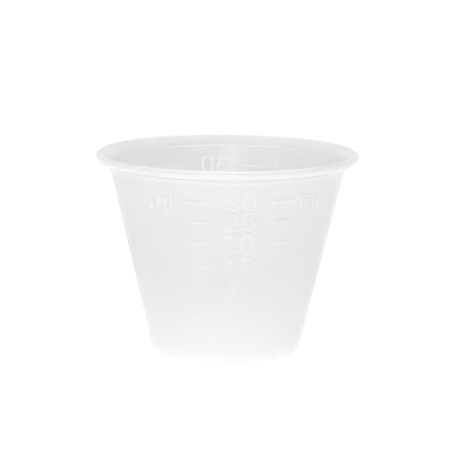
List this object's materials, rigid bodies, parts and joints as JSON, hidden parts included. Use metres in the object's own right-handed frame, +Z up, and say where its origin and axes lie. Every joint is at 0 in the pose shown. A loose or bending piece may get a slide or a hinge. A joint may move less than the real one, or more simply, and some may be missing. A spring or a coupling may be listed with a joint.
{
  "type": "medicine cup",
  "caption": "Small tapered graduated medicine cup in translucent plastic, with a flared beaded lip, raised volume lines and numerals on two sides, and a flat foot.",
  "frame": {"origin": "centre of the foot, on the plane the cup stands on", "axes": "+Z up along the cup's axis; the two raised scales face -Y and +Y"},
  "size_m": [0.0498, 0.0498, 0.0377],
  "materials": {
    "translucent_polypropylene": "natural frosted polypropylene, milky and translucent with a soft sheen"
  },
  "bodies": {
    "root": {"medicine_cup": "translucent_polypropylene"}
  },
  "joints": []
}
